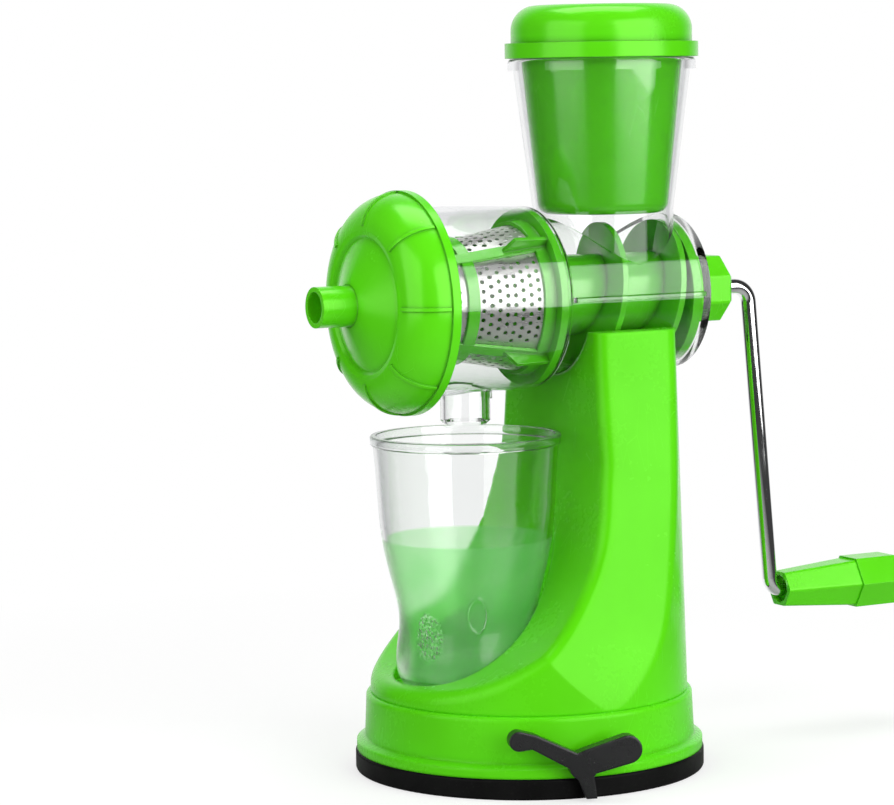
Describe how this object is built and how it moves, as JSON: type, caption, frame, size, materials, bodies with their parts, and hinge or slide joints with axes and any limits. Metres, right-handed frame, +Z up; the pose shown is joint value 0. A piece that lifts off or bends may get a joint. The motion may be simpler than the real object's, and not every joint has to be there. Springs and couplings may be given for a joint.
{
  "type": "manual wheatgrass juicer",
  "caption": "Hand cranked auger juicer with a clear barrel and hopper on a scooped column, a suction base with a lever and a drinking glass under the spout.",
  "frame": {"origin": "on the floor at the centre of the round base", "axes": "+Z up, auger along X with its pulp nozzle towards -X and its crank towards +X, suction lever on the -Y side"},
  "size_m": [0.3079, 0.1674, 0.335],
  "materials": {
    "green_plastic": "gloss moulded, bright green",
    "clear_plastic": "clear polycarbonate, polished",
    "drinking_glass": "clear glass, frosted lower part",
    "black_rubber": "matt black rubber",
    "black_plastic": "satin black moulded",
    "stainless_mesh": "perforated stainless sheet",
    "chrome": "polished chrome",
    "steel": "turned steel",
    "white_nylon": "natural nylon",
    "seal_rubber": "pale silicone"
  },
  "bodies": {
    "stand": {"stand_column": "green_plastic", "base_skirt": "green_plastic", "foot_ring": "black_rubber", "base_screws": "steel", "juicer_housing": "clear_plastic", "housing_screws": "steel", "strainer_cage": "green_plastic", "strainer_mesh": "stainless_mesh", "rear_bush": "white_nylon", "shaft_seal": "seal_rubber"},
    "drive": {"auger": "green_plastic", "auger_shaft": "steel", "crank_hub": "green_plastic", "hub_pins": "steel", "crank_rod": "chrome", "rod_retainer": "steel"},
    "grip": {"crank_grip": "green_plastic", "grip_plug": "green_plastic"},
    "cap_seal": {"front_seal": "seal_rubber"},
    "cap": {"front_cap": "green_plastic"},
    "pusher": {"pusher_cup": "green_plastic", "pusher_cap": "green_plastic"},
    "glass": {"drinking_glass": "drinking_glass"},
    "lever": {"vacuum_lever": "black_plastic", "cam_shaft": "steel", "lever_pin": "steel"},
    "suction": {"suction_disc": "black_rubber", "lift_stem": "black_plastic"}
  },
  "joints": [
    {"name": "crank_spin", "type": "hinge", "parent": "stand", "child": "drive", "pos_m": [0.09, 0, 0.2077], "axis": [1, 0, 0], "continuous": true},
    {"name": "grip_spin", "type": "hinge", "parent": "drive", "child": "grip", "pos_m": [0.155, 0, 0.0667], "axis": [1, 0, 0], "continuous": true},
    {"name": "cap_advance", "type": "slide", "parent": "stand", "child": "cap_seal", "axis": [-1, 0, 0], "range_m": [0, 0.008]},
    {"name": "cap_turn", "type": "hinge", "parent": "cap_seal", "child": "cap", "pos_m": [-0.07, 0, 0.2077], "axis": [1, 0, 0], "range_deg": [0, 720]},
    {"name": "pusher_lift", "type": "slide", "parent": "stand", "child": "pusher", "axis": [0, 0, 1], "range_m": [0, 0.075]},
    {"name": "glass_lift", "type": "slide", "parent": "stand", "child": "glass", "axis": [0, 0, 1], "range_m": [0, 0.009]},
    {"name": "lever_turn", "type": "hinge", "parent": "stand", "child": "lever", "pos_m": [-0.02046, -0.07866, 0.0155], "axis": [0.3313, 0.9435, 0], "range_deg": [0, 30]},
    {"name": "cup_lift", "type": "slide", "parent": "stand", "child": "suction", "axis": [0, 0, 1], "range_m": [0, 0.00362]}
  ],
  "couplings": [
    {"joint": "cap_advance", "follows": "cap_turn", "m_per_rad": 0.00063661},
    {"joint": "lever_turn", "follows": "cup_lift", "rad_per_m": 144.51}
  ]
}
